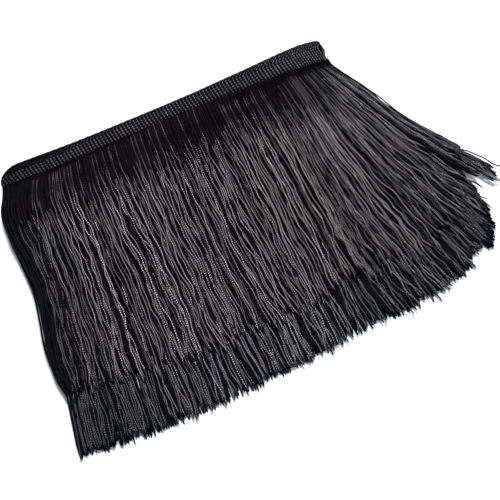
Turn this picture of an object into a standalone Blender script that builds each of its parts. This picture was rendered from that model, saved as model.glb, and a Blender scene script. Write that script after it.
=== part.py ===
"""A length of strand fringe, laid back and forth in three laps.

One ribbed heading tape runs to the right in the top lap, turns down and back under it in the middle lap, and turns
again into the bottom lap. Each lap carries a row of strands, which hang from a narrow strip along its lower edge.
X runs along the top lap, the strands lie towards -Y, and the surface that the trim lies on is Z = 0.
"""

import math
import random

import bmesh
import bpy
import numpy as np
from mathutils import Vector

MM = 0.001

# Heading tape
TAPE_WIDTH = 10.5 * MM
TAPE_THICKNESS = 1.5 * MM
RIB_PITCH = 2.15 * MM
RIB_DEPTH = 0.35 * MM
RIB_SLANT_DEG = 8.0

# Where the laps start, turn and end, along X
TOP_START = 0.0
RIGHT_TURN = 198.0 * MM
LEFT_TURN = -9.0 * MM
BOTTOM_END = 182.0 * MM

# The turns, to the middle of the tape's thickness
RIGHT_TURN_RADIUS = 2.1 * MM
LEFT_TURN_RADIUS = 1.65 * MM

# The two lower laps lie shifted towards the tips; the shift happens after the right turn
LOWER_SHIFT = 28.0 * MM
SHIFT_LENGTH = 48.0 * MM

# Free space between the solids
PIECE_GAP = 0.3 * MM
LAP_GAP = 0.4 * MM

# The top lap lies on the surface up to here, then climbs to the right turn
CLIMB_START = 50.0 * MM
# The middle lap comes down from the left turn over this length
LEFT_SETTLE = 35.0 * MM

# Strands: a triangle in section, flat side down
STRAND_WIDTH = 1.5 * MM
STRAND_HEIGHT = 1.3 * MM
TIP_SHARE = 0.7
STRIP_WIDTH = 1.3 * MM
STRAND_LENGTH = 139.0 * MM
LENGTH_SPREAD = 4.0 * MM
# At the right end, where they fan out, the strands are shorter by this much
FAN_START = 110.0 * MM
FAN_FULL = 180.0 * MM
TOP_FAN_SHORTER = 10.0 * MM
LOWER_FAN_SHORTER = 6.0 * MM
SEED = 11
# The lean at the root dies out over this share of the strand
ROOT_BEND_SHARE = 0.15
# Neighbours draw together and apart by this share of their pitch, in waves of two lengths
CLUMP_SQUEEZE = 0.1
CLUMP_LENGTH = 17.0 * MM
LONG_CLUMP_LENGTH = 40.0 * MM
# The top strands arch up by this much halfway down, and less between the swells
CREST_RISE = 2.4 * MM
SWELL_SHARE = 0.25
SWELL_LENGTH = 120.0 * MM
# The top strands clear the raised left turn up to the first share of their length and are down at the second
TURN_CLEARED = 0.22
TURN_LEFT_BEHIND = 0.72

# Which way the strands lie: place of the root along X in mm, degrees from -Y towards +X at the root and at the tip
TOP_LEAN = (
    (0, -22, -1),
    (8, -12, -3),
    (30, -4, -3),
    (80, 1, 1),
    (130, 4, 5),
    (160, 7, 8),
    (180, 12, 13),
    (192, 21, 25),
    (199, 31, 33),
)
LOWER_LEAN = (
    (-9, -8, -6),
    (10, -5, -5),
    (40, -2, -1),
    (90, 1, 2),
    (130, 4, 5),
    (155, 9, 11),
    (170, 18, 20),
    (180, 25, 27),
    (198, 31, 33),
)

# Where a strand has a ring of points, as shares of its length
TOP_RINGS = (0.10, 0.21, 0.45, 0.72, 1.0)
LOWER_RINGS = (0.15, 0.42, 0.72, 1.0)

# Material colours, linear, with roughness
TAPE_COLOUR = (0.016, 0.015, 0.017)
STRAND_COLOUR = (0.010, 0.009, 0.011)
TAPE_ROUGHNESS = 0.6
STRAND_ROUGHNESS = 0.45

HALF_TAPE = TAPE_THICKNESS / 2
BOTTOM_LEVEL = HALF_TAPE
MIDDLE_LEVEL = BOTTOM_LEVEL + TAPE_THICKNESS + LAP_GAP
LEFT_LEVEL = BOTTOM_LEVEL + 2 * LEFT_TURN_RADIUS
RIGHT_LEVEL = MIDDLE_LEVEL + 2 * RIGHT_TURN_RADIUS
MIDDLE_STRANDS = MIDDLE_LEVEL - HALF_TAPE
TOP_STRANDS = MIDDLE_LEVEL + HALF_TAPE + LAP_GAP


def smooth(t):
    """0 up to t = 0, 1 from t = 1, with no corner in between."""
    t = np.clip(t, 0.0, 1.0)
    return t * t * (3 - 2 * t)


def top_level(x):
    """Height of the top lap's tape, to the middle of its thickness."""
    climb = smooth((x - CLIMB_START) / (RIGHT_TURN - CLIMB_START))
    return BOTTOM_LEVEL + (RIGHT_LEVEL - BOTTOM_LEVEL) * climb


def middle_level(x):
    """Height of the middle lap's tape, which is raised at the left turn."""
    settled = smooth((x - LEFT_TURN) / LEFT_SETTLE)
    return LEFT_LEVEL + (MIDDLE_LEVEL - LEFT_LEVEL) * settled


class Tape:
    """The line that the heading follows, with its directions at any length along it."""

    STEP = 0.1 * MM

    def __init__(self):
        turn = np.linspace(math.pi / 2, -math.pi / 2, 60)[1:-1]
        top_x = np.arange(TOP_START, RIGHT_TURN, self.STEP)
        middle_x = np.arange(RIGHT_TURN, LEFT_TURN, -self.STEP)
        bottom_x = np.arange(LEFT_TURN, BOTTOM_END, self.STEP)
        right_x = RIGHT_TURN + RIGHT_TURN_RADIUS * np.cos(turn)
        right_z = MIDDLE_LEVEL + RIGHT_TURN_RADIUS * (1 + np.sin(turn))
        left_x = LEFT_TURN - LEFT_TURN_RADIUS * np.cos(turn)
        left_z = BOTTOM_LEVEL + LEFT_TURN_RADIUS * (1 + np.sin(turn))
        x = np.concatenate([top_x, right_x, middle_x, left_x, bottom_x])
        bottom_z = np.full(len(bottom_x), BOTTOM_LEVEL)
        z = np.concatenate([top_level(top_x), right_z, middle_level(middle_x), left_z, bottom_z])
        flat_length = self.lengths(np.stack([x, z], axis=1))
        shift = smooth((flat_length - flat_length[len(top_x)]) / SHIFT_LENGTH)
        y = -TAPE_WIDTH / 2 - LOWER_SHIFT * shift
        self.points = np.stack([x, y, z], axis=1)
        self.along = self.lengths(self.points)
        self.total = self.along[-1]
        marks = np.cumsum([len(top_x), len(right_x), len(middle_x), len(left_x)])
        self.top_end, self.middle_start, self.middle_end, self.bottom_start = self.along[marks]

    @staticmethod
    def lengths(points):
        steps = np.linalg.norm(np.diff(points, axis=0), axis=1)
        return np.concatenate([[0.0], np.cumsum(steps)])

    def point(self, length):
        return Vector([np.interp(length, self.along, self.points[:, k]) for k in range(3)])

    def frame(self, length):
        """The point at this length, the way along the tape, the way to the strands and the way out of its face."""
        near = min(max(length, self.STEP), self.total - self.STEP)
        along = (self.point(near + self.STEP) - self.point(near - self.STEP)).normalized()
        down = Vector((0, -1, 0))
        side = (down - along * down.dot(along)).normalized()
        return self.point(length), along, side, side.cross(along)


def new_object(name, bm, colour, roughness):
    """The finished mesh as an object with its own material."""
    bmesh.ops.recalc_face_normals(bm, faces=bm.faces)
    mesh = bpy.data.meshes.new(name)
    bm.to_mesh(mesh)
    bm.free()
    material = bpy.data.materials.new(name)
    material.use_nodes = True
    shader = material.node_tree.nodes["Principled BSDF"]
    shader.inputs["Base Color"].default_value = (*colour, 1)
    shader.inputs["Roughness"].default_value = roughness
    shader.inputs["Metallic"].default_value = 0.0
    mesh.materials.append(material)
    obj = bpy.data.objects.new(name, mesh)
    bpy.context.scene.collection.objects.link(obj)
    return obj


def join_rings(bm, ring, following):
    """The side faces between two rings of vertices."""
    for k in range(len(ring)):
        after = (k + 1) % len(ring)
        bm.faces.new((ring[k], ring[after], following[after], following[k]))


def heading(tape):
    """The ribbed tape: its back is plain, and its face rises and falls once in each rib."""
    bm = bmesh.new()
    slant = TAPE_WIDTH / 2 * math.tan(math.radians(RIB_SLANT_DEG))
    count = 2 * int(tape.total / RIB_PITCH)
    rings = []
    for k in range(count + 1):
        length = tape.total * k / count
        lean = 0.0 if k in (0, count) else slant
        face = HALF_TAPE if k % 2 else HALF_TAPE - RIB_DEPTH
        upper, _, upper_side, upper_out = tape.frame(length - lean)
        lower, _, lower_side, lower_out = tape.frame(length + lean)
        upper = upper - upper_side * TAPE_WIDTH / 2
        lower = lower + lower_side * TAPE_WIDTH / 2
        corners = (
            upper - upper_out * HALF_TAPE,
            lower - lower_out * HALF_TAPE,
            lower + lower_out * face,
            upper + upper_out * face,
        )
        rings.append([bm.verts.new(corner) for corner in corners])
    for ring, following in zip(rings, rings[1:]):
        join_rings(bm, ring, following)
    bm.faces.new(rings[0])
    bm.faces.new(rings[-1])
    return new_object("heading", bm, TAPE_COLOUR, TAPE_ROUGHNESS)


def lean_at(table, x, share):
    """The strand's lean in radians, for a root at x and at this share of the strand's length."""
    places, roots, tips = zip(*table)
    root = np.interp(x / MM, places, roots)
    tip = np.interp(x / MM, places, tips)
    return math.radians(tip + (root - tip) * math.exp(-share / ROOT_BEND_SHARE))


def clump(x):
    """Sideways shift at the tip that draws neighbouring strands together and apart."""
    short = CLUMP_LENGTH / math.tau
    long = LONG_CLUMP_LENGTH / math.tau
    return CLUMP_SQUEEZE * short * (math.sin(x / short) + math.sin(x / long) / 2)


def sunk(excess, share):
    """What is left, at this share of its length, of a root's height above the place where the strand comes to lie."""
    return max(0.0, excess) * (1 - share) ** 3


def top_height(x, share, root):
    """Height of a top strand's flat side: over the laps below, and a little crested halfway down."""
    past_turn = smooth((share - TURN_CLEARED) / (TURN_LEFT_BEHIND - TURN_CLEARED))
    over_turn = (middle_level(x) - MIDDLE_LEVEL) * (1 - past_turn)
    swell = 1 - SWELL_SHARE + SWELL_SHARE * math.sin(math.tau * x / SWELL_LENGTH)
    lie = TOP_STRANDS + over_turn + CREST_RISE * math.sin(math.pi * share) ** 2 * swell
    return lie + sunk(root - lie, share)


def middle_height(_x, share, root):
    """The middle strands lie just over the bottom lap."""
    return MIDDLE_STRANDS + sunk(root - MIDDLE_STRANDS, share)


def bottom_height(_x, _share, _root):
    """The bottom strands rest on the surface."""
    return 0.0


def fringe(name, tape, first, last, lean_table, fan_shorter, rings, height, rng):
    """A strip along one lap and the strands that grow out of it."""
    bm = bmesh.new()
    count = int((last - first) / RIB_PITCH)
    near_side = TAPE_WIDTH / 2 + PIECE_GAP
    before = None
    for k in range(count):
        point, along, side, out = tape.frame(first + RIB_PITCH * (k + 0.5))
        up = out if out.z > 0 else -out
        low = point - up * HALF_TAPE
        back = low + side * near_side
        front = back + side * STRIP_WIDTH
        half = along * STRAND_WIDTH / 2
        tall = up * STRAND_HEIGHT
        back_low, back_high = bm.verts.new(back), bm.verts.new(back + tall)
        root = [bm.verts.new(front - half), bm.verts.new(front + half), bm.verts.new(front + tall)]
        start, end, peak = root
        bm.faces.new((back_low, start, end))
        if before is None:
            bm.faces.new((back_low, back_high, peak, start))
        else:
            was_low, was_high, was_end, was_peak = before
            bm.faces.new((was_high, back_high, peak, was_peak))
            bm.faces.new((was_low, back_low, back_high, was_high))
            bm.faces.new((was_low, was_end, start, back_low))
            bm.faces.new((was_end, was_peak, peak, start))
        before = back_low, back_high, end, peak
        fanned = smooth((front.x - FAN_START) / (FAN_FULL - FAN_START))
        length = STRAND_LENGTH - fan_shorter * fanned + rng.uniform(-LENGTH_SPREAD, LENGTH_SPREAD)
        way = 1 if along.x > 0 else -1
        grow_strand(bm, root, front, length, way, lean_table, rings, height)
    last_low, last_high, last_end, last_peak = before
    bm.faces.new((last_low, last_end, last_peak, last_high))
    return new_object(name, bm, STRAND_COLOUR, STRAND_ROUGHNESS)


def grow_strand(bm, ring, root, length, way, lean_table, shares, height):
    """One strand from its root triangle to its tip."""
    x, y = root.x, root.y
    before = 0.0
    for share in shares:
        lean = lean_at(lean_table, root.x, (before + share) / 2)
        x += length * (share - before) * math.sin(lean)
        y -= length * (share - before) * math.cos(lean)
        size = 1.0 if share < 1 else TIP_SHARE
        across = Vector((math.cos(lean), math.sin(lean), 0)) * way
        centre = Vector((x, y, height(x, share, root.z))) + across * way * clump(root.x) * share
        half = across * STRAND_WIDTH / 2 * size
        corners = (centre - half, centre + half, centre + Vector((0, 0, STRAND_HEIGHT * size)))
        following = [bm.verts.new(corner) for corner in corners]
        join_rings(bm, ring, following)
        ring, before = following, share
    bm.faces.new(ring)


def centre_on_origin(objects):
    """Moves the meshes so that the middle of the whole, seen from above, is over the origin."""
    points = np.array([v.co for obj in objects for v in obj.data.vertices])
    middle = (points.min(axis=0) + points.max(axis=0)) / 2
    for obj in objects:
        for vertex in obj.data.vertices:
            vertex.co -= Vector((middle[0], middle[1], 0))


def main():
    for obj in list(bpy.data.objects):
        bpy.data.objects.remove(obj)
    tape = Tape()
    rng = random.Random(SEED)
    objects = [heading(tape)]
    top = (TOP_LEAN, TOP_FAN_SHORTER, TOP_RINGS, top_height)
    middle = (LOWER_LEAN, LOWER_FAN_SHORTER, LOWER_RINGS, middle_height)
    bottom = (LOWER_LEAN, LOWER_FAN_SHORTER, LOWER_RINGS, bottom_height)
    objects.append(fringe("fringe_top", tape, 0.0, tape.top_end, *top, rng))
    objects.append(fringe("fringe_middle", tape, tape.middle_start, tape.middle_end, *middle, rng))
    objects.append(fringe("fringe_bottom", tape, tape.bottom_start, tape.total, *bottom, rng))
    centre_on_origin(objects)


main()
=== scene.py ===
"""Looks of the folded fringe trim: twisted black strands, a ribbed heading, a pale floor and studio light.

The strands and the heading follow the laps of the solids, whose sizes and formulas are repeated here.
Lay coordinates have X = 0 at the top lap's start and Y = 0 at its upper edge; ORIGIN moves them to the frame.
"""

import math

import bpy
import numpy as np
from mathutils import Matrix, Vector


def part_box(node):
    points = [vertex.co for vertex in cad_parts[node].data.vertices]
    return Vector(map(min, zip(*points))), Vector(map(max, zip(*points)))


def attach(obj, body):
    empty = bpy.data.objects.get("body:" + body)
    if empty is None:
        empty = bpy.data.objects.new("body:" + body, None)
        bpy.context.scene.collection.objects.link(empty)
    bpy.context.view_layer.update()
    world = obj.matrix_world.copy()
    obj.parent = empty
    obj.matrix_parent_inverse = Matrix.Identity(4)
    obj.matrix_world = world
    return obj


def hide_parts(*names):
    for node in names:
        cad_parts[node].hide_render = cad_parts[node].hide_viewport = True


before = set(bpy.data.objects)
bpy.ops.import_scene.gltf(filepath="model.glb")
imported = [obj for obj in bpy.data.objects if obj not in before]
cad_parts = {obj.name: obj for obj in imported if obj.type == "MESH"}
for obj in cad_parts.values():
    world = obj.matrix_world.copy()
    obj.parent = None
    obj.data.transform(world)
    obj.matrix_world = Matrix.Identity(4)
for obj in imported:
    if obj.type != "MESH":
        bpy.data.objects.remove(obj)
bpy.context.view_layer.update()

MM = 0.001
BODY = "root"

# Sizes shared with the solids
TAPE_WIDTH = 10.5 * MM
TAPE_THICKNESS = 1.5 * MM
HALF_TAPE = TAPE_THICKNESS / 2
RIB_PITCH = 2.15 * MM
# Place along the top lap in mm, how far down the heading's width the ribs turn back, the degrees that the
# arms above and below that slant, and the gloss of each, lower towards the left end as painted shade
RIB_LAY = (
    (-6, 0.42, 40, 18, 0.2, 0.5),
    (10, 0.4, 40, 13, 0.22, 0.66),
    (30, 0.36, 40, 10, 0.26, 0.72),
    (50, 0.25, 38, 8, 0.4, 0.78),
    (75, 0.14, 35, 8, 0.65, 0.82),
    (130, 0.12, 38, 8, 0.7, 0.86),
    (145, 0.2, 48, 8, 0.7, 0.88),
    (155, 0.3, 52, 8, 0.72, 0.92),
    (185, 0.34, 52, 8, 0.8, 0.95),
    (199, 0.32, 40, 8, 0.85, 0.95),
    (203, 0.3, 25, 6, 0.9, 0.9),
)
CLOSE_RIBS_START = 176.0 * MM
CLOSE_RIBS_RATE = 1.45
# How far the heading's upper edge rolls out, and its lower edge reaches down, in mm, by the place along the
# top lap in mm
EDGE_ROLL = (
    (40, 0), (76, 0.9), (100, 1.3), (120, 1.7), (135, 2.4), (150, 3.0), (165, 3.9),
    (176, 4.6), (184, 4.9), (190, 5.0), (196, 4.4), (199.5, 3.9), (201, 3.4), (202.5, 2.2), (206, 0),
)
LOWER_REACH = (
    (-6, 2.2), (25, 2.2), (45, 1.0), (61, 0.0), (75, -1.2), (88, -2.0), (95, -2.4), (120, -2.6),
    (150, -2.2), (170, -1.6), (190, -1.0), (202, 0),
)
# How far the rounded left end takes the upper edge in, in mm, by the place along the top lap in mm
CORNER = ((-5.8, 10.5), (-5.3, 8.0), (-4.0, 5.2), (-1.5, 3.0), (1.1, 1.5), (4, 0.4), (7, 0))
# The right turn bulges out by this much, near its upper edge
TURN_BULGE = 1.7 * MM
BULGE_PLACE = 201.8 * MM
BULGE_ACROSS = -4.0 * MM
RIGHT_TURN = 199.2 * MM
LEFT_TURN = -9.0 * MM
BOTTOM_END = 182.0 * MM
RIGHT_TURN_RADIUS = 2.1 * MM
LEFT_TURN_RADIUS = 1.65 * MM
LOWER_SHIFT = 28.0 * MM
SHIFT_LENGTH = 48.0 * MM
LAP_GAP = 0.4 * MM
TOP_START = -5.6 * MM
CLIMB_START = 50.0 * MM
LEFT_SETTLE = 35.0 * MM
STRAND_HEIGHT = 1.3 * MM
STRAND_LENGTH = 139.0 * MM
FAN_START = 110.0 * MM
FAN_FULL = 180.0 * MM
DENSE_START = 140.0 * MM
DENSE_FULL = 186.0 * MM
CREST_RISE = 2.4 * MM
SWELL_SHARE = 0.25
SWELL_LENGTH = 120.0 * MM
CALM_START = 186.0 * MM
TURN_CLEARED = 0.22
TURN_LEFT_BEHIND = 0.72

# Place of the root along X in mm, degrees from -Y towards +X at the root, in the middle and at the tip
TOP_LEAN = (
    (-5, -20, -2, -6),
    (0, -30, 2, -8),
    (9, -34, 1, -6),
    (18, -22, -1, -3),
    (30, -14, 0, -3),
    (55, -9, 0, -2),
    (80, -6, 0, 0),
    (105, -4, 0, 3),
    (130, -2, 0, 3),
    (150, 1, 0, 4),
    (165, 4, 3, 8),
    (175, 8, 6, 11),
    (182, 13, 11, 16),
    (190, 19, 19, 25),
    (196, 24, 23, 32),
    (199.5, 26, 24, 37),
)
MIDDLE_LEAN = (
    (-9, 5, -2, -9.5),
    (0, 2, -2, -8),
    (10, 0, -2, -5),
    (40, -2, -1, -1),
    (90, 0, 1, 1),
    (130, 2, 2, 1),
    (145, 6, 5, 4),
    (160, 12, 11, 11),
    (175, 20, 19, 20),
    (186, 25, 25, 28),
    (192, 26, 25, 32),
    (199.5, 26, 24, 37),
)
BOTTOM_LEAN = (
    (-9, 5, -2, -9.5),
    (0, 2, -2, -8),
    (10, 0, -2, -5),
    (40, -2, -1, -1),
    (90, 0, 1, 1),
    (130, 2, 2, 0),
    (145, 3, 3, 0),
    (160, 7, 7, 3),
    (172, 12, 12, 8),
    (183, 20, 20, 17),
)
# The strands at the ends lie along the photograph's outline: degrees by the share of their length
LEFT_SWAY = (
    (0, -7), (0.05, -21), (0.13, -22.5), (0.2, -3.5), (0.3, 1.5), (0.5, 4),
    (0.62, -8.5), (0.75, -11.5), (0.85, -4), (0.93, 3), (1, 6),
)
RIGHT_SWAY = (
    (0, 6), (0.03, 17), (0.08, 30), (0.2, 28), (0.3, 25), (0.4, 24), (0.5, 27),
    (0.6, 31.6), (0.75, 36.5), (0.88, 36.3), (1, 31),
)
# How much longer the strands are, in mm, by the place of the root
TOP_LONGER = (
    (-6, -6), (12, -2), (25, 0), (110, 0), (130, -2), (150, -6), (160, -8), (170, -8), (178, -6),
    (186, -12), (190, -21), (194, -25), (196, -23), (198, -24), (200, -22),
)
MIDDLE_LONGER = (
    (-9, 2), (10, 2), (30, 4), (50, 3.5), (60, 3), (75, 2), (85, 0.5), (100, -0.5), (115, -1.5), (130, -4),
    (150, -6), (160, -4), (170, -1), (180, -1), (185, -7), (188, -15), (192, -33), (194, -42), (200, -45),
)
BOTTOM_LONGER = (
    (-9, 2), (10, 2), (30, 4), (50, 3.5), (60, 3), (75, 2), (85, 0.5), (100, -0.5), (115, -1.5), (130, -4),
    (150, -6), (165, -7), (183, -9),
)
FIRST_BEND = 0.3
LAST_BEND = 0.9

BOTTOM_LEVEL = HALF_TAPE
MIDDLE_LEVEL = BOTTOM_LEVEL + TAPE_THICKNESS + LAP_GAP
LEFT_LEVEL = BOTTOM_LEVEL + 2 * LEFT_TURN_RADIUS
RIGHT_LEVEL = MIDDLE_LEVEL + 2 * RIGHT_TURN_RADIUS
MIDDLE_STRANDS = MIDDLE_LEVEL - HALF_TAPE
TOP_STRANDS = MIDDLE_LEVEL + HALF_TAPE + LAP_GAP

# Strands start this far inside the heading's lower edge and this far below the tape's middle, which with the
# part inside the heading makes them longer by ROOT_LONGER, and the lower ones stay this far under the upper ones
ROOT_INSIDE = 1.6 * MM
ROOT_DROP = 0.35 * MM
ROOT_LONGER = 4.8 * MM
UNDER_DROP = 0.9 * MM
# Past this place the lap is steeper, and its strands are darkened where they leave the heading: painted shade
ROOT_SHADE_START = 110 * MM
ROOT_SHADE_LENGTH = 60 * MM

# Looks of the strands
STRAND_RADIUS = 0.64 * MM
TWIST_PITCH = 2.8 * MM
PLIES = 2
LEVELS = 4
PLY_DEPTH = 0.09 * MM
# Painted shade: the strands just under the heading are darkened down to this tone, where they slope away from
# the light
ROOT_SHADE_TONE = 0.35
RIB_TWIST = 1.8 * MM
BEAD_PITCH = 1.7 * MM
ROOT_FULL_SHARE = 0.16
DIP_LEVEL = 1.1 * MM
DIP_PART = 0.5
# Shares of the strands' length where that painted shade starts to lift, and where it is gone
SHADE_BAND_START = 0.14
SHADE_BAND_END = 0.31

# The solid heading reaches from the outside of its left turn to the outside of its right turn
HEADING_LEFT = -11.4 * MM
HEADING_RIGHT = 200.85 * MM
heading_low, heading_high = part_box("heading")
ORIGIN = np.array(
    [
        (heading_low[0] + heading_high[0] - HEADING_LEFT - HEADING_RIGHT) / 2,
        heading_high[1],
        0.0,
    ]
)


def smooth(t):
    """0 up to t = 0, 1 from t = 1, with no corner in between."""
    t = np.clip(t, 0.0, 1.0)
    return t * t * (3 - 2 * t)


def unit(v):
    return v / np.linalg.norm(v, axis=-1, keepdims=True)


def top_level(x):
    climb = smooth((x - CLIMB_START) / (RIGHT_TURN - CLIMB_START))
    return BOTTOM_LEVEL + (RIGHT_LEVEL - BOTTOM_LEVEL) * climb


def middle_level(x):
    settled = smooth((x - LEFT_TURN) / LEFT_SETTLE)
    return LEFT_LEVEL + (MIDDLE_LEVEL - LEFT_LEVEL) * settled


class Tape:
    """The line that the heading follows, with its directions at any length along it."""

    STEP = 0.1 * MM

    def __init__(self):
        turn = np.linspace(math.pi / 2, -math.pi / 2, 60)[1:-1]
        top_x = np.arange(TOP_START, RIGHT_TURN, self.STEP)
        middle_x = np.arange(RIGHT_TURN, LEFT_TURN, -self.STEP)
        bottom_x = np.arange(LEFT_TURN, BOTTOM_END, self.STEP)
        right_x = RIGHT_TURN + RIGHT_TURN_RADIUS * np.cos(turn)
        right_z = MIDDLE_LEVEL + RIGHT_TURN_RADIUS * (1 + np.sin(turn))
        left_x = LEFT_TURN - LEFT_TURN_RADIUS * np.cos(turn)
        left_z = BOTTOM_LEVEL + LEFT_TURN_RADIUS * (1 + np.sin(turn))
        x = np.concatenate([top_x, right_x, middle_x, left_x, bottom_x])
        bottom_z = np.full(len(bottom_x), BOTTOM_LEVEL)
        z = np.concatenate([top_level(top_x), right_z, middle_level(middle_x), left_z, bottom_z])
        flat_length = self.lengths(np.stack([x, z], axis=1))
        shift = smooth((flat_length - flat_length[len(top_x)]) / SHIFT_LENGTH)
        y = -TAPE_WIDTH / 2 - LOWER_SHIFT * shift
        self.points = np.stack([x, y, z], axis=1)
        self.along = self.lengths(self.points)
        self.total = self.along[-1]
        marks = np.cumsum([len(top_x), len(right_x), len(middle_x), len(left_x)])
        self.top_end, self.middle_start, self.middle_end, self.bottom_start = self.along[marks]

    @staticmethod
    def lengths(points):
        steps = np.linalg.norm(np.diff(points, axis=0), axis=1)
        return np.concatenate([[0.0], np.cumsum(steps)])

    def points_at(self, length):
        return np.stack([np.interp(length, self.along, self.points[:, k]) for k in range(3)], axis=-1)

    def frames(self, length):
        """Points, ways along the tape, to the strands and out of the face, for an array of lengths."""
        near = np.clip(length, self.STEP, self.total - self.STEP)
        along = unit(self.points_at(near + self.STEP) - self.points_at(near - self.STEP))
        down = np.array([0.0, -1.0, 0.0])
        side = unit(down - along * (along @ down)[..., None])
        return self.points_at(length), along, side, np.cross(side, along)


tape = Tape()


def mesh_object(name, vertices, faces, materials, tone=1.0, twist=None, looks=0):
    """An object from arrays of points and faces, riding on the body.

    faces is a list of arrays, each of faces with the same number of corners. tone, lowered by painted shade as
    well, is 0 where the yarn is dullest, and picks one of the materials, which run from dull to glossy, LEVELS
    of them for each look.
    twist has two numbers for each corner of each face: the turns round the yarn, and the turns of its twist
    up to there.
    """
    mesh = bpy.data.meshes.new(name)
    corners = np.concatenate([f.ravel() for f in faces]).astype(np.int32)
    sizes = np.concatenate([np.full(len(f), f.shape[1]) for f in faces])
    starts = np.concatenate([[0], np.cumsum(sizes)[:-1]]).astype(np.int32)
    mesh.vertices.add(len(vertices))
    mesh.vertices.foreach_set("co", (vertices + ORIGIN).astype(np.float32).ravel())
    mesh.loops.add(len(corners))
    mesh.loops.foreach_set("vertex_index", corners)
    mesh.polygons.add(len(starts))
    mesh.polygons.foreach_set("loop_start", starts)
    mesh.update(calc_edges=True)
    mesh.shade_smooth()
    if twist is not None:
        mesh.uv_layers.new(name="twist").data.foreach_set("uv", twist.astype(np.float32).ravel())
    tone = np.broadcast_to(tone, len(vertices)).astype(np.float32)
    attribute = mesh.attributes.new("tone", "FLOAT", "POINT")
    attribute.data.foreach_set("value", tone)
    for material in materials:
        mesh.materials.append(material)
    first = corners[starts]
    level = np.clip((tone[first] * LEVELS).astype(np.int32), 0, LEVELS - 1)
    gloss = level + LEVELS * np.broadcast_to(looks, len(vertices))[first].astype(np.int32)
    mesh.polygons.foreach_set("material_index", gloss)
    obj = bpy.data.objects.new(name, mesh)
    bpy.context.scene.collection.objects.link(obj)
    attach(obj, BODY)
    return obj


def tubes(lines, radius, pitch, sides, phase, up=(0.0, 0.0, 1.0)):
    """Points, faces and twist of tubes. lines is strands x points x 3, and radius is strands x points."""
    count, length = lines.shape[:2]
    way = unit(np.gradient(lines, axis=1))
    across = unit(np.cross(way, np.broadcast_to(up, way.shape)))
    over = np.cross(across, way)
    steps = np.linalg.norm(np.diff(lines, axis=1), axis=2)
    along = np.concatenate([np.zeros((count, 1)), np.cumsum(steps, axis=1)], axis=1)
    angle = math.tau * np.arange(sides) / sides + math.pi / 4
    ring = (
        lines[:, :, None]
        + across[:, :, None] * (radius[..., None] * np.cos(angle))[..., None]
        + over[:, :, None] * (radius[..., None] * np.sin(angle))[..., None]
    )
    index = np.arange(count * length * sides).reshape(count, length, sides)
    after = np.roll(index, -1, axis=2)
    walls = np.stack([index[:, :-1], after[:, :-1], after[:, 1:], index[:, 1:]], axis=-1).reshape(-1, 4)
    starts = index[:, 0, ::-1].reshape(-1, sides)
    ends = index[:, -1].reshape(-1, sides)
    turns = along / pitch + phase[:, None]
    round_here = np.broadcast_to(np.arange(sides) / sides, (count, length - 1, sides))
    turns_here = np.broadcast_to(turns[:, :-1, None], round_here.shape)
    turns_next = np.broadcast_to(turns[:, 1:, None], round_here.shape)
    wall_twist = np.stack(
        [
            np.stack([round_here, turns_here], axis=-1),
            np.stack([round_here + 1 / sides, turns_here], axis=-1),
            np.stack([round_here + 1 / sides, turns_next], axis=-1),
            np.stack([round_here, turns_next], axis=-1),
        ],
        axis=3,
    )
    cap_twist = np.zeros((2 * count * sides, 2))
    return ring.reshape(-1, 3), [walls, starts, ends], np.concatenate([wall_twist.reshape(-1, 2), cap_twist])


def flow(x, share, phase):
    """Sideways drift in common of the strands near x, as locks of yarn lie."""
    drift = 0.9 * np.sin(x / (11.0 * MM) + 2.2 * share + 0.5 + phase)
    drift += 0.9 * np.sin(x / (19.0 * MM) - 3.4 * share + 1.7 - phase)
    drift += 0.5 * np.sin(x / (5.1 * MM) + 5.0 * share + 2 * phase)
    drift += 0.45 * np.sin(x / (6.3 * MM) + 21.0 * share + 3 * phase)
    return drift * MM * smooth((share - 0.03) / 0.5)


def locks(rng, place):
    """The number of the lock that each strand belongs to, and the middle of that lock."""
    bounds = np.cumsum(rng.uniform(2.5 * MM, 8.0 * MM, 160)) + place.min() - 5 * MM
    lock = np.searchsorted(bounds, place)
    middle = np.array([place[lock == k].mean() if (lock == k).any() else 0.0 for k in range(lock.max() + 1)])
    return lock, middle[lock]


def wander(rng, count, share, size):
    """Each strand's own small sideways waves."""
    out = np.zeros((count, share.shape[1]))
    for cycles, weight in ((1.3, 1.0), (2.7, 0.8), (5.5, 0.8), (9.5, 0.55)):
        phase = rng.uniform(0, math.tau, (count, 1))
        rate = cycles * rng.uniform(0.7, 1.3, (count, 1))
        out += weight * rng.uniform(0.3, 1.0, (count, 1)) * np.sin(math.tau * rate * share + phase)
    return out * size * smooth((share - 0.02) / 0.25)


def leans(table, x, share):
    """Degrees from -Y towards +X along the strands whose roots are at x."""
    places, roots, middles, tips = np.array(table, float).T
    root, middle, tip = (np.interp(x / MM, places, v)[:, None] for v in (roots, middles, tips))
    first = smooth(share / FIRST_BEND)
    last = smooth((share - FIRST_BEND) / (LAST_BEND - FIRST_BEND))
    return root + (middle - root) * first + (tip - middle) * last


def swayed(lean, x, share, table, start, full):
    """The leans, which change over between start and full to those of the table for an end of the lap."""
    places, degrees = np.array(table, float).T
    near = smooth((x[:, None] / MM - start) / (full - start))
    return lean + (np.interp(share, places, degrees) - lean) * near


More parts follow.
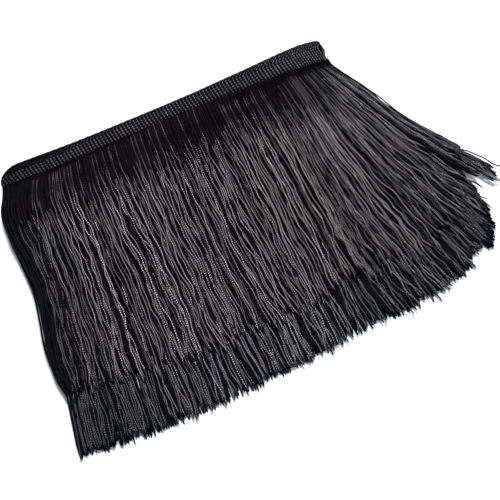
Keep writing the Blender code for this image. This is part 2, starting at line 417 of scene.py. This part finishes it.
def top_height(x, share, root):
    """Underside of the top lap's strands: down into a dip, then up over the middle lap's heading."""
    middle_edge = LOWER_SHIFT * smooth((RIGHT_TURN - x) / SHIFT_LENGTH)
    rise_share = np.maximum(middle_edge - TAPE_WIDTH, 0.0) / STRAND_LENGTH
    dip_share = rise_share * DIP_PART
    past_turn = smooth((share - TURN_CLEARED) / (TURN_LEFT_BEHIND - TURN_CLEARED))
    over_turn = (middle_level(x) - MIDDLE_LEVEL) * (1 - past_turn)
    swell = 1 - SWELL_SHARE + SWELL_SHARE * np.sin(math.tau * x / SWELL_LENGTH)
    lie = TOP_STRANDS + over_turn + CREST_RISE * np.sin(math.pi * share) ** 2 * swell
    dip_level = np.minimum(DIP_LEVEL, lie)
    risen = smooth((share - dip_share) / (rise_share - dip_share + 0.02))
    dip = dip_level + (lie - dip_level) * risen
    return dip + np.maximum(root - dip, 0) * np.clip(1 - share / (dip_share + 0.05), 0, 1) ** 1.5


def middle_height(x, share, root):
    return MIDDLE_STRANDS + np.maximum(root - MIDDLE_STRANDS, 0) * (1 - share) ** 3


def bottom_height(x, share, root):
    return np.zeros_like(x)


def strand_lines(rng, lengths, spec, layer):
    """Centre lines, radii, tones with their painted shade, and which strands take the bluish look of painted
    sky-lit shade, for strands rooted at these lengths.
    """
    count = len(lengths)
    points, _, side, out = tape.frames(lengths)
    up = np.where(out[:, 2:] > 0, out, -out)
    low = points - up * HALF_TAPE
    edge_at = edges(lengths)[1]
    root = points + side * (edge_at - ROOT_INSIDE)[:, None] - up * ROOT_DROP
    place = root[:, 0]
    samples = max(8, int(STRAND_LENGTH / layer["step"]))
    share = np.broadcast_to(np.linspace(0, 1, samples), (count, samples))
    loose = layer["loose"]
    lock, middle = locks(rng, place)
    fanned = smooth((place - FAN_START) / (FAN_FULL - FAN_START))
    long = STRAND_LENGTH + ROOT_LONGER - layer["shorter"] + TAPE_WIDTH / 2 - edge_at
    long = long + np.interp(place / MM, *np.array(spec["longer"], float).T) * MM
    long = long + rng.normal(0, spec["lock_spread"], lock.max() + 1)[lock] * (1 + 0.8 * fanned)
    long = long + np.clip(rng.normal(0, spec["spread"], count), -3 * spec["spread"], 2 * spec["spread"])
    stray = rng.random(count) < 0.05
    long = long + np.where(stray, rng.uniform(1.0, 3.0, count) * MM, 0)
    lean = leans(spec["lean"], place, share)
    lean = swayed(lean, place, share, RIGHT_SWAY, 191, 200)
    if spec["name"] == "strands_top":
        lean = swayed(lean, place, share, LEFT_SWAY, 9, -5)
    inwards = 1.8 * np.abs(rng.normal(0, 1, (count, 1))) * smooth((place[:, None] - 190 * MM) / (8 * MM))
    lean = np.radians(lean + rng.normal(0, 0.9 * loose, (count, 1)) - inwards * smooth(share / 0.3))
    step = (long / (samples - 1))[:, None]
    x = place[:, None] + (np.cumsum(np.sin(lean), axis=1) - np.sin(lean[:, :1])) * step
    y = root[:, 1:2] - (np.cumsum(np.cos(lean), axis=1) - np.cos(lean[:, :1])) * step
    pull = rng.uniform(0.1, spec["clump"], lock.max() + 1)[lock] * max(loose - 0.3, 0)
    calm = 1 - 0.15 * fanned - 0.35 * smooth((place - CALM_START) / (RIGHT_TURN - CALM_START))
    calm = (calm * (0.3 + 0.7 * smooth((place - LEFT_TURN) / (12 * MM))))[:, None]
    aside = flow(place[:, None], share, spec["phase"]) * loose * calm
    aside += ((middle - place) * pull)[:, None] * smooth((share - 0.12) / 0.5)
    aside += wander(rng, count, share, spec["wander"] * loose) * calm
    ends_apart = 0.9 * MM * loose * fanned[:, None] * smooth((share - 0.5) / 0.4)
    aside += wander(rng, count, share, ends_apart)
    aside += rng.normal(0, 1.4 * MM * loose, (count, 1)) * smooth((share - 0.8) / 0.25) ** 2 * calm
    x = x + np.cos(lean) * aside
    y = y + np.sin(lean) * aside
    over = spec["height"](x, share, low[:, 2:3]) + STRAND_HEIGHT / 2
    floor = np.minimum(spec["under"], over - UNDER_DROP)
    z = floor + (over - floor) * layer["level"]
    z = z + wander(rng, count, share, spec["lift"] * loose)
    settled = np.clip((share - 0.01) / 0.06, 0, 1)
    z = root[:, 2:3] + (z - root[:, 2:3]) * settled * (2 - settled)
    full = smooth(share / ROOT_FULL_SHARE)
    radius = STRAND_RADIUS * layer["size"] * (layer["root"] + (1 - layer["root"]) * full)
    radius = radius * (1 + layer["spread"] * fanned[:, None] * share) * (1 - 0.3 * loose * fanned[:, None])
    radius = radius * rng.uniform(0.86, 1.12, (count, 1))
    end = np.clip((1 - share) / 0.012, 0, 1)
    radius = radius * (0.6 + 0.4 * np.sqrt(end))
    z = np.maximum(z, radius * 1.05)
    # Painted shade on the band under the heading: the strands are dark there, a little lighter at the left end,
    # and the band ends sooner near the right turn
    sooner = (0.12 * smooth((place - 186 * MM) / (10 * MM)))[:, None]
    apart = rng.normal(0, 0.02, (count, 1))
    past_shade_band = smooth((share + sooner + apart - SHADE_BAND_START) / (SHADE_BAND_END - SHADE_BAND_START))
    left_end = 1 - smooth((place[:, None] - 18 * MM) / (24 * MM))
    tone = ROOT_SHADE_TONE + 0.1 * left_end + (1 - ROOT_SHADE_TONE - 0.1 * left_end) * past_shade_band
    # Painted shade towards the left end, where the strands fall away from the light: their tone drops there
    edge = smooth((place[:, None] + rng.normal(2 * MM, 3 * MM, (count, 1))) / spec["edge_shade_span"])
    tone = tone * (spec["edge_shade_tone"] + (1 - spec["edge_shade_tone"]) * edge) * layer["tone"]
    # Each strand's own tone differs at random, and in the fan a painted lift of light brightens it
    own = (1 - rng.uniform(0, 1, count) * (0.55 + 0.3 * fanned)) * (1 + 0.15 * fanned)
    tone = tone * (own * rng.uniform(0.85, 1.0, lock.max() + 1)[lock])[:, None]
    # Painted shade past this place: the strands are darkened just where they leave the heading
    root_shade = smooth((place[:, None] - ROOT_SHADE_START) / ROOT_SHADE_LENGTH)
    tone = tone * (1 - root_shade * (1 - smooth((share - 0.012) / 0.035)))
    # Painted sky-lit shade: a share of the strands, which changes with place, takes the bluish copy
    sky_shaded = rng.random(count) < np.interp(place / MM, *np.array(spec["sky_shaded"], float).T)
    return np.stack([x, y, z], axis=-1), radius, tone, sky_shaded


def math_node(nodes, links, operation, *values):
    """The output of a Math node whose inputs are outputs of other nodes or numbers."""
    node = nodes.new("ShaderNodeMath")
    node.operation = operation
    for socket, value in zip(node.inputs, values):
        if isinstance(value, (int, float)):
            socket.default_value = value
        else:
            links.new(value, socket)
    return node.outputs[0]


def yarn_material(name, colour, tint, roughness, gloss, gloss_tint, relief):
    """Dark silky yarn: twisted plies with grooves between them, painted darker as shade, fibres, small changes
    of tone, and the painted shade of the tone attribute.
    """
    material = bpy.data.materials.new(name)
    material.use_nodes = True
    nodes, links = material.node_tree.nodes, material.node_tree.links
    shader = nodes["Principled BSDF"]
    place = nodes.new("ShaderNodeTexCoord")
    per_strand = nodes.new("ShaderNodeNewGeometry").outputs["Random Per Island"]
    tone = nodes.new("ShaderNodeAttribute")
    tone.attribute_name = "tone"
    large = nodes.new("ShaderNodeTexNoise")
    large.inputs["Scale"].default_value = 60
    large.inputs["Detail"].default_value = 2
    links.new(place.outputs["Object"], large.inputs["Vector"])
    worn = nodes.new("ShaderNodeTexNoise")
    worn.inputs["Scale"].default_value = 260
    worn.inputs["Detail"].default_value = 2
    links.new(place.outputs["Object"], worn.inputs["Vector"])
    fibre = nodes.new("ShaderNodeTexNoise")
    fibre.inputs["Scale"].default_value = 2200
    fibre.inputs["Detail"].default_value = 2
    links.new(place.outputs["Object"], fibre.inputs["Vector"])

    # Height of the plies: 1 on the crown of each one, 0 in the grooves
    twist = nodes.new("ShaderNodeUVMap")
    twist.uv_map = "twist"
    parts = nodes.new("ShaderNodeSeparateXYZ")
    links.new(twist.outputs["UV"], parts.inputs["Vector"])
    turned = math_node(nodes, links, "SUBTRACT", parts.outputs["X"], parts.outputs["Y"])
    wave = math_node(nodes, links, "SINE", math_node(nodes, links, "MULTIPLY", turned, math.pi * PLIES))
    ply = math_node(nodes, links, "ABSOLUTE", wave)

    both = math_node(nodes, links, "ADD", per_strand, large.outputs["Fac"])
    toned = math_node(nodes, links, "MULTIPLY", both, tone.outputs["Fac"])
    # The grooves between the plies get a darker colour: painted shade
    shaded = math_node(nodes, links, "MULTIPLY_ADD", ply, 0.35, 0.15)
    ramp = nodes.new("ShaderNodeValToRGB")
    ramp.color_ramp.elements[0].color = (*colour, 1)
    ramp.color_ramp.elements[1].color = (*tint, 1)
    links.new(math_node(nodes, links, "MULTIPLY", toned, shaded), ramp.inputs["Fac"])
    links.new(ramp.outputs["Color"], shader.inputs["Base Color"])
    rough = math_node(nodes, links, "MULTIPLY_ADD", per_strand, 0.14, roughness - 0.15)
    rough = math_node(nodes, links, "MULTIPLY_ADD", worn.outputs["Fac"], 0.3, rough)
    rougher = math_node(nodes, links, "MULTIPLY_ADD", ply, -0.12, 0.1)
    links.new(math_node(nodes, links, "ADD", rough, rougher), shader.inputs["Roughness"])
    height = math_node(nodes, links, "MULTIPLY_ADD", fibre.outputs["Fac"], 0.5, ply)
    bump = nodes.new("ShaderNodeBump")
    bump.inputs["Strength"].default_value = 0.9 * relief
    bump.inputs["Distance"].default_value = PLY_DEPTH
    links.new(height, bump.inputs["Height"])
    links.new(bump.outputs["Normal"], shader.inputs["Normal"])
    shader.inputs["Specular IOR Level"].default_value = gloss
    shader.inputs["Specular Tint"].default_value = (*gloss_tint, 1)
    return material


def yarn_materials(name, colour, tint, roughness, gloss_tint, most, relief=1.0):
    """The same yarn in four degrees of gloss, from dull to glossy; the duller ones also carry painted shade."""
    levels = (("dull", 0.02), ("low", 0.3), ("half", 0.62), ("glossy", 1.0))
    return [
        yarn_material(f"{name}_{word}", colour, tint, roughness, most * part, gloss_tint, relief)
        for word, part in levels
    ]


# Two copies of the yarn: a warm one as the key lights it, and a bluish one whose colour is painted shade, lit by
# the sky
strand_materials = yarn_materials(
    "lit_strand_look", (0.0014, 0.0011, 0.0017), (0.034, 0.029, 0.032), 0.24, (1.0, 0.92, 0.945), 1.0
) + yarn_materials(
    "sky_shaded_strand_look", (0.0013, 0.0013, 0.0028), (0.026, 0.025, 0.042), 0.24, (0.87, 0.85, 1.0), 1.0
)
tape_materials = yarn_materials(
    "heading_tape_look", (0.0008, 0.0008, 0.0012), (0.03, 0.03, 0.034), 0.34, (0.97, 0.95, 1.0), 1.0, 0.5
)

# Each layer's tone is painted shade for its depth: the layers underneath, shaded by those above, are darker
LAYERS = {
    "upper": {
        "level": 1.0, "size": 1.0, "root": 0.7, "spread": 0.0, "tone": 1.0, "sides": 6, "step": 1.6 * MM,
        "offset": 0.5, "rate": 1.0, "more": 1.9, "loose": 1.0, "shorter": 0.0,
    },
    "between": {
        "level": 0.62, "size": 0.95, "root": 0.75, "spread": 0.0, "tone": 0.85, "sides": 5, "step": 1.6 * MM,
        "offset": 1.0, "rate": 1.0, "more": 1.7, "loose": 0.9, "shorter": 0.0,
    },
    "under": {
        "level": 0.2, "size": 1.1, "root": 1.05, "spread": 0.4, "tone": 0.12, "sides": 4, "step": 3.5 * MM,
        "offset": 0.7, "rate": 2.1, "more": 1.6, "loose": 0.3, "shorter": 4 * MM,
    },
    "lower": {
        "level": 1.0, "size": 0.98, "root": 0.8, "spread": 0.0, "tone": 1.0, "sides": 5, "step": 1.6 * MM,
        "offset": 0.6, "rate": 1.0, "more": 1.8, "loose": 1.0, "shorter": 0.9 * MM,
    },
    "mixed": {
        "level": 0.6, "size": 0.98, "root": 0.8, "spread": 0.0, "tone": 0.75, "sides": 5, "step": 1.8 * MM,
        "offset": 1.0, "rate": 1.0, "more": 1.6, "loose": 0.8, "shorter": 0.9 * MM,
    },
    "deep": {
        "level": 0.2, "size": 1.1, "root": 1.2, "spread": 0.4, "tone": 0.12, "sides": 4, "step": 4.5 * MM,
        "offset": 0.8, "rate": 2.4, "more": 2.2, "loose": 0.25, "shorter": 1.2 * MM,
    },
}
LAPS = (
    {
        "name": "strands_top",
        "node": "fringe_top",
        "first": 0.0,
        "last": tape.top_end + 0.5 * (tape.middle_start - tape.top_end),
        "lean": TOP_LEAN,
        "longer": TOP_LONGER,
        "height": top_height,
        "under": 3.0 * MM,
        "phase": 0.0,
        "clump": 0.7,
        "wander": 0.65 * MM,
        "lift": 0.35 * MM,
        "spread": 2.0 * MM,
        "lock_spread": 2.2 * MM,
        "layers": ("upper", "between", "under"),
        # The span and the tone of the painted shade at the left end
        "edge_shade_span": 34 * MM,
        "edge_shade_tone": 0.26,
        # Share of the strands, by place, that take the bluish look of painted sky-lit shade
        "sky_shaded": (
            (-9, 0.8), (10, 0.6), (30, 0.15), (50, 0.05), (140, 0.05), (165, 0.2), (190, 0.65), (200, 0.8),
        ),
        "seed": 3,
    },
    {
        "name": "strands_middle",
        "node": "fringe_middle",
        "first": tape.top_end + 0.5 * (tape.middle_start - tape.top_end),
        "last": tape.middle_end + 0.5 * (tape.bottom_start - tape.middle_end),
        "lean": MIDDLE_LEAN,
        "longer": MIDDLE_LONGER,
        "height": middle_height,
        "under": 1.2 * MM,
        "phase": 2.0,
        "clump": 0.6,
        "wander": 0.65 * MM,
        "lift": 0.3 * MM,
        "spread": 1.0 * MM,
        "lock_spread": 1.0 * MM,
        "layers": ("lower", "mixed", "deep"),
        "edge_shade_span": 70 * MM,
        "edge_shade_tone": 0.48,
        "sky_shaded": ((-9, 1.0), (60, 0.9), (110, 0.8), (150, 0.85), (200, 0.9)),
        "seed": 5,
    },
    {
        "name": "strands_bottom",
        "node": "fringe_bottom",
        "first": tape.middle_end + 0.5 * (tape.bottom_start - tape.middle_end),
        "last": tape.total,
        "lean": BOTTOM_LEAN,
        "longer": BOTTOM_LONGER,
        "height": bottom_height,
        "under": 0.3 * MM,
        "phase": 4.1,
        "clump": 0.5,
        "wander": 0.65 * MM,
        "lift": 0.2 * MM,
        "spread": 1.0 * MM,
        "lock_spread": 1.0 * MM,
        "layers": ("mixed", "deep"),
        "edge_shade_span": 70 * MM,
        "edge_shade_tone": 0.48,
        "sky_shaded": ((-9, 1.0), (60, 0.9), (110, 0.8), (150, 0.85), (200, 0.9)),
        "seed": 8,
    },
)


def rooted(rng, spec, layer):
    """Where the strands of a layer grow along the tape: more of them where they fan out."""
    fine = np.arange(spec["first"], spec["last"], 0.1 * MM)
    x = tape.points_at(fine)[:, 0]
    fan = smooth((x - DENSE_START) / (DENSE_FULL - DENSE_START)) + 0.6 * smooth((24 * MM - x) / (14 * MM))
    grown = np.cumsum(1 + layer["more"] * fan) * 0.1 * MM * layer["rate"] / RIB_PITCH
    places = np.arange(int(grown[-1])) + layer["offset"] + rng.uniform(-0.12, 0.12, int(grown[-1]))
    return np.clip(np.interp(places, grown, fine), 0.3 * MM, tape.total - 0.3 * MM)


def fringe(spec):
    """The strands of one lap, as one piece for each layer."""
    for number, layer_name in enumerate(spec["layers"]):
        layer = LAYERS[layer_name]
        rng = np.random.default_rng(spec["seed"] + 100 * number)
        lengths = rooted(rng, spec, layer)
        lines, radius, tone, sky_shaded = strand_lines(rng, lengths, spec, layer)
        phase = rng.uniform(0, 1, len(lengths))
        vertices, faces, twist = tubes(lines, radius, TWIST_PITCH, layer["sides"], phase)
        looks = np.repeat(sky_shaded, len(vertices) // len(sky_shaded))
        tone = np.repeat(tone.ravel(), layer["sides"])
        name = f"{spec['name']}_{layer_name}"
        piece = mesh_object(name, vertices, faces, strand_materials, tone, twist, looks)
        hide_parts(spec["node"])


def at_place(table, lengths):
    """The values of a table at lengths along the tape. Its places count from the top lap's X = 0."""
    values = np.array(table, float)
    place = (lengths + TOP_START) / MM
    return [np.interp(place, values[:, 0], values[:, k]) for k in range(1, values.shape[1])]


def edges(lengths):
    """How far across the tape its upper and lower edges are."""
    roll, reach, missing = (at_place(t, lengths)[0] * MM for t in (EDGE_ROLL, LOWER_REACH, CORNER))
    return -TAPE_WIDTH / 2 - roll + missing, TAPE_WIDTH / 2 + reach


def lift(lengths, across):
    """How far out of the tape's plane the heading's face is, this far across it."""
    rolled = 0.1 * np.maximum(-across - TAPE_WIDTH / 2, 0)
    along_bulge = (lengths + TOP_START - BULGE_PLACE) / (2.2 * MM)
    across_bulge = (across - BULGE_ACROSS) / (4.0 * MM)
    return rolled + TURN_BULGE * np.exp(-(along_bulge**2) - across_bulge**2)


def heading_band():
    """The thin woven band that the ribs cross, closed all round."""
    count = int(tape.total / (0.7 * MM))
    lengths = np.linspace(0, tape.total, count)
    points, _, side, out = tape.frames(lengths)
    upper, lower = edges(lengths)
    upper = upper + 0.3 * MM
    lower = lower - 0.5 * MM
    middle = np.maximum(upper + 2 * MM, -3 * MM)
    face = 0.1 * MM
    corners = (
        (upper, lift(lengths, upper) - HALF_TAPE),
        (lower, 0 * lower - HALF_TAPE),
        (lower, 0 * lower - 0.2 * MM),
        (lower - 0.5 * MM, 0 * lower + face),
        (middle, lift(lengths, middle) + face),
        (upper, lift(lengths, upper) + face),
    )
    sides = len(corners)
    rings = np.stack([points + side * u[:, None] + out * v[:, None] for u, v in corners], axis=1)
    index = np.arange(count * sides).reshape(count, sides)
    after = np.roll(index, -1, axis=1)
    walls = np.stack([index[:-1], after[:-1], after[1:], index[1:]], axis=-1).reshape(-1, 4)
    faces = [walls, index[:1, ::-1], index[-1:]]
    band = mesh_object("heading_band", rings.reshape(-1, 3), faces, tape_materials, 0.0)
    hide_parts("heading")
    return band


def rib_places():
    """Lengths along the tape where the ribs are: closer together at the right turn of the top lap."""
    fine = np.arange(0, tape.total, 0.1 * MM)
    here = fine + TOP_START
    close = smooth((here - CLOSE_RIBS_START) / (16 * MM)) * (here < RIGHT_TURN + 8 * MM)
    grown = np.cumsum(1 + (CLOSE_RIBS_RATE - 1) * close) * 0.1 * MM / RIB_PITCH
    return np.interp(np.arange(int(grown[-1])) + 0.5, grown, fine)


def heading_ribs():
    """One yarn for each rib, which runs up from the lower edge and turns back along the upper edge."""
    rng = np.random.default_rng(21)
    centre = rib_places()
    count = len(centre)
    samples = 28
    apex, arm_slant, slant, arm_tone, tone = (v[:, None] for v in at_place(RIB_LAY, centre))
    upper, lower = (v[:, None] for v in edges(centre))
    upper = np.minimum(upper, -TAPE_WIDTH / 2)
    width = lower - upper - 0.3 * MM
    share = np.linspace(0, 1, samples)
    below = np.maximum(share - apex, 0) * width
    above = np.maximum(apex - share, 0) * width
    lean_below = np.tan(np.radians(slant * (0.3 + 0.75 * share))) * below
    lean_above = np.tan(np.radians(arm_slant)) * above
    lengths = np.clip(centre[:, None] + (lean_below + lean_above) - 1.5 * MM, 0.0, tape.total)
    points, _, side, out = tape.frames(lengths)
    across = np.maximum(upper + 0.4 * MM + share * width, edges(lengths)[0] + 0.4 * MM)
    rise = 0.22 * MM - 0.5 * MM * share**9 - 0.3 * MM * (1 - share) ** 9 + lift(lengths, across)
    lines = points + side * across[..., None] + out * rise[..., None]
    arm = share < apex
    pitch = np.clip(np.gradient(centre) / RIB_PITCH, 0.5, 1)[:, None]
    bead = 0.5 + 0.5 * np.cos(math.tau * (share * width / BEAD_PITCH + rng.normal(0, 0.12, (count, 1))))
    radius = np.where(arm, 0.34 * MM, 0.46 * MM) * (1 - 0.2 * share**8) * pitch * (0.82 + 0.26 * bead)
    radius = radius * rng.uniform(0.85, 1.1, (count, 1)) * rng.uniform(0.95, 1.05, (count, samples))
    # Between the beads the ribs are darker: painted shade in the narrow parts
    tone = np.where(arm, arm_tone, tone) * rng.uniform(0.8, 1.0, (count, 1)) * (0.25 + 0.9 * bead)
    tone = tone * rng.uniform(0.8, 1.15, (count, samples))
    vertices, faces, twist = tubes(lines, radius, RIB_TWIST, 6, rng.uniform(0, 1, count))
    tone = np.repeat(tone.ravel(), 6)
    piece = mesh_object("heading_ribs", vertices, faces, tape_materials, tone, twist)
    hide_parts("heading")
    return piece


def heading_selvedge():
    """The corded upper edge."""
    count = int(tape.total / (0.6 * MM))
    lengths = np.linspace(0, tape.total, count)
    points, _, side, out = tape.frames(lengths)
    upper, _ = edges(lengths)
    height = lift(lengths, upper) - 0.25 * MM
    line = points + side * (upper + 0.4 * MM)[:, None] + out * height[:, None]
    radius = 0.5 * MM * (1 + 0.18 * np.sin(math.tau * lengths / (2 * RIB_PITCH)))
    vertices, faces, twist = tubes(
        line[None], radius[None], -2 * RIB_PITCH, 8, np.zeros(1), up=(0.0, 1.0, 0.0)
    )
    piece = mesh_object("heading_selvedge", vertices, faces, tape_materials, 0.3, twist)
    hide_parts("heading")
    return piece


for lap in LAPS:
    fringe(lap)
band = heading_band()
ribs = heading_ribs()
selvedge = heading_selvedge()


FLOOR_SIDE = 6.0
FLOOR_GAP = 0.2 * MM
WORLD_COLOUR = (0.8, 0.87, 1.0)
WORLD_STRENGTH = 0.32


def plain_material(name, colour, roughness):
    material = bpy.data.materials.new(name)
    material.use_nodes = True
    shader = material.node_tree.nodes["Principled BSDF"]
    shader.inputs["Base Color"].default_value = (*colour, 1)
    shader.inputs["Roughness"].default_value = roughness
    return material


def floor():
    mesh = bpy.data.meshes.new("floor")
    half = FLOOR_SIDE / 2
    corners = [(-half, -half, 0), (half, -half, 0), (half, half, 0), (-half, half, 0)]
    mesh.from_pydata(corners, [], [(0, 1, 2, 3)])
    mesh.materials.append(plain_material("floor_look", (0.9, 0.9, 0.9), 0.9))
    obj = bpy.data.objects.new("floor", mesh)
    obj.location.z = -FLOOR_GAP
    bpy.context.scene.collection.objects.link(obj)


def area_light(name, azimuth, elevation, distance, size, power, colour):
    """A softbox that looks at the trim from this azimuth and elevation."""
    data = bpy.data.lights.new(name, "AREA")
    data.shape = "RECTANGLE"
    data.size, data.size_y = size
    data.energy = power
    data.color = colour
    obj = bpy.data.objects.new(name, data)
    a, e = math.radians(azimuth), math.radians(elevation)
    back = Vector((math.sin(a) * math.cos(e), -math.cos(a) * math.cos(e), math.sin(e)))
    obj.location = back * distance
    obj.rotation_mode = "QUATERNION"
    obj.rotation_quaternion = (-back).to_track_quat("-Z", "Y")
    bpy.context.scene.collection.objects.link(obj)


# Camera: the photograph's angle, with a long lens
CAMERA_AZIMUTH = -23.2
CAMERA_ELEVATION = 66.0
CAMERA_DISTANCE = 0.9
IMAGE_SIDE = 500
SENSOR_MM = 36.0
PIXELS_PER_MM = 1.737
ORIGIN_PIXEL = (263.2, 222.4)


def camera():
    a, e = math.radians(CAMERA_AZIMUTH), math.radians(CAMERA_ELEVATION)
    right = Vector((math.cos(a), math.sin(a), 0))
    back = Vector((math.sin(a) * math.cos(e), -math.cos(a) * math.cos(e), math.sin(e)))
    up = back.cross(right)
    data = bpy.data.cameras.new("camera")
    data.sensor_width = SENSOR_MM
    data.lens = PIXELS_PER_MM * CAMERA_DISTANCE / MM * SENSOR_MM / IMAGE_SIDE
    aside = (IMAGE_SIDE / 2 - ORIGIN_PIXEL[0]) / PIXELS_PER_MM * MM
    above = (ORIGIN_PIXEL[1] - IMAGE_SIDE / 2) / PIXELS_PER_MM * MM
    obj = bpy.data.objects.new("camera", data)
    obj.location = right * aside + up * above + back * CAMERA_DISTANCE
    obj.rotation_mode = "QUATERNION"
    obj.rotation_quaternion = (-back).to_track_quat("-Z", "Y")
    bpy.context.scene.collection.objects.link(obj)
    bpy.context.scene.camera = obj


def studio():
    floor()
    area_light("key", 162, 64, 1.3, (0.5, 0.4), 28.5, (1.0, 0.98, 0.97))
    area_light("fill", 12, 48, 1.6, (1.4, 0.8), 6.5, (0.85, 0.9, 1.0))
    world = bpy.data.worlds.new("studio")
    world.use_nodes = True
    background = world.node_tree.nodes["Background"]
    background.inputs["Color"].default_value = (*WORLD_COLOUR, 1)
    background.inputs["Strength"].default_value = WORLD_STRENGTH
    bpy.context.scene.world = world
    bpy.context.scene.view_settings.view_transform = "Standard"


studio()
camera()
